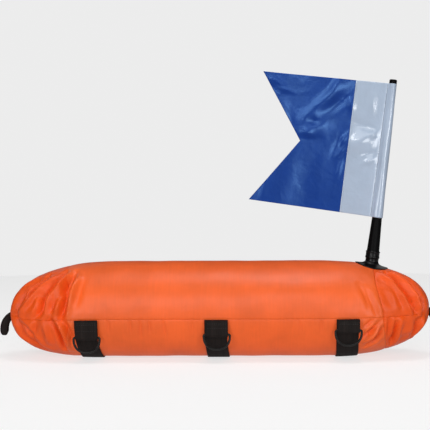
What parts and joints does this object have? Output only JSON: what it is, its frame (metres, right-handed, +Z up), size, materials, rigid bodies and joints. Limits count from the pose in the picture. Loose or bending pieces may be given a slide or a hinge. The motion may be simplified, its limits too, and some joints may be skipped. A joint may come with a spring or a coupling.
{
  "type": "dive flag float",
  "caption": "Torpedo-shaped inflatable float in a sewn orange cover, with belly straps, hanging D-rings, tow loops and a socketed mast that carries a swallow-tailed flag.",
  "frame": {"origin": "on the surface that the float rests on, under the middle of its length and width", "axes": "+X along the float to the end that carries the mast, +Z up, -Y the front, which shows three D-rings with the flag's fly pointing to -X"},
  "size_m": [0.7674, 0.1808, 0.4961],
  "materials": {
    "orange_nylon": "coated woven nylon with a soft satin sheen",
    "bladder_vinyl": "smooth welded vinyl film",
    "valve_vinyl": "moulded soft vinyl",
    "black_plastic": "moulded, slight gloss",
    "zip_tape": "woven polyester tape",
    "zip_plastic": "moulded acetal",
    "black_webbing": "woven nylon webbing",
    "ring_steel": "black coated steel wire",
    "boot_rubber": "moulded, satin",
    "flag_white": "glossy coated cloth",
    "flag_blue": "glossy coated cloth"
  },
  "bodies": {
    "float_body": {"cover_top_panel": "orange_nylon", "cover_belly_panel": "orange_nylon", "end_panel_left_upper": "orange_nylon", "end_panel_left_lower": "orange_nylon", "end_panel_right_upper": "orange_nylon", "end_panel_right_lower": "orange_nylon", "bladder": "bladder_vinyl", "valve_base": "valve_vinyl", "valve_grommet": "black_plastic", "zip_tape_upper": "zip_tape", "zip_tape_lower": "zip_tape", "zip_chain": "zip_plastic", "belly_strap_left": "black_webbing", "belly_strap_middle": "black_webbing", "belly_strap_right": "black_webbing", "ring_keeper_left_front": "black_webbing", "ring_keeper_left_back": "black_webbing", "ring_keeper_middle_front": "black_webbing", "ring_keeper_middle_back": "black_webbing", "ring_keeper_right_front": "black_webbing", "ring_keeper_right_back": "black_webbing", "tow_loop_left": "black_webbing", "tow_loop_right": "black_webbing", "mast_boot": "boot_rubber"},
    "ring_left_front": {"d_ring_left_front": "ring_steel"},
    "ring_left_back": {"d_ring_left_back": "ring_steel"},
    "ring_middle_front": {"d_ring_middle_front": "ring_steel"},
    "ring_middle_back": {"d_ring_middle_back": "ring_steel"},
    "ring_right_front": {"d_ring_right_front": "ring_steel"},
    "ring_right_back": {"d_ring_right_back": "ring_steel"},
    "mast_body": {"mast": "black_plastic", "mast_cap": "black_plastic"},
    "flag_body": {"flag_white_panel": "flag_white", "flag_blue_panel": "flag_blue"},
    "slider_body": {"zip_slider": "zip_plastic"},
    "pull_body": {"zip_pull": "zip_plastic"},
    "valve_cap_body": {"valve_cap": "valve_vinyl"}
  },
  "joints": [
    {"name": "ring_left_front_swing", "type": "hinge", "parent": "float_body", "child": "ring_left_front", "pos_m": [-0.2235, -0.08191, 0.04333], "axis": [-1, 0, 0], "range_deg": [-30, 135]},
    {"name": "ring_left_back_swing", "type": "hinge", "parent": "float_body", "child": "ring_left_back", "pos_m": [-0.2235, 0.08191, 0.04333], "axis": [1, 0, 0], "range_deg": [-30, 135]},
    {"name": "ring_middle_front_swing", "type": "hinge", "parent": "float_body", "child": "ring_middle_front", "pos_m": [-0.0035, -0.08434, 0.0484], "axis": [-1, 0, 0], "range_deg": [-30, 135]},
    {"name": "ring_middle_back_swing", "type": "hinge", "parent": "float_body", "child": "ring_middle_back", "pos_m": [-0.0035, 0.08434, 0.0484], "axis": [1, 0, 0], "range_deg": [-30, 135]},
    {"name": "ring_right_front_swing", "type": "hinge", "parent": "float_body", "child": "ring_right_front", "pos_m": [0.218, -0.08612, 0.05498], "axis": [-1, 0, 0], "range_deg": [-30, 135]},
    {"name": "ring_right_back_swing", "type": "hinge", "parent": "float_body", "child": "ring_right_back", "pos_m": [0.218, 0.08612, 0.05498], "axis": [1, 0, 0], "range_deg": [-30, 135]},
    {"name": "mast_pull_out", "type": "slide", "parent": "float_body", "child": "mast_body", "axis": [0.1175, 0, 0.9931], "range_m": [0, 0.03]},
    {"name": "flag_swivel", "type": "hinge", "parent": "mast_body", "child": "flag_body", "pos_m": [0.2657, 0, 0.15847], "axis": [0.1175, 0, 0.9931], "continuous": true},
    {"name": "zip_slide", "type": "slide", "parent": "float_body", "child": "slider_body", "axis": [-1, 0, 0], "range_m": [0, 0.325]},
    {"name": "zip_pull_swing", "type": "hinge", "parent": "slider_body", "child": "pull_body", "pos_m": [0.16295, 0.08718, 0.0994], "axis": [0, 0.1925, -0.9813], "range_deg": [0, 150]},
    {"name": "valve_cap_pull", "type": "slide", "parent": "float_body", "child": "valve_cap_body", "axis": [0, 0.7082, 0.706], "range_m": [0, 0.014]}
  ]
}
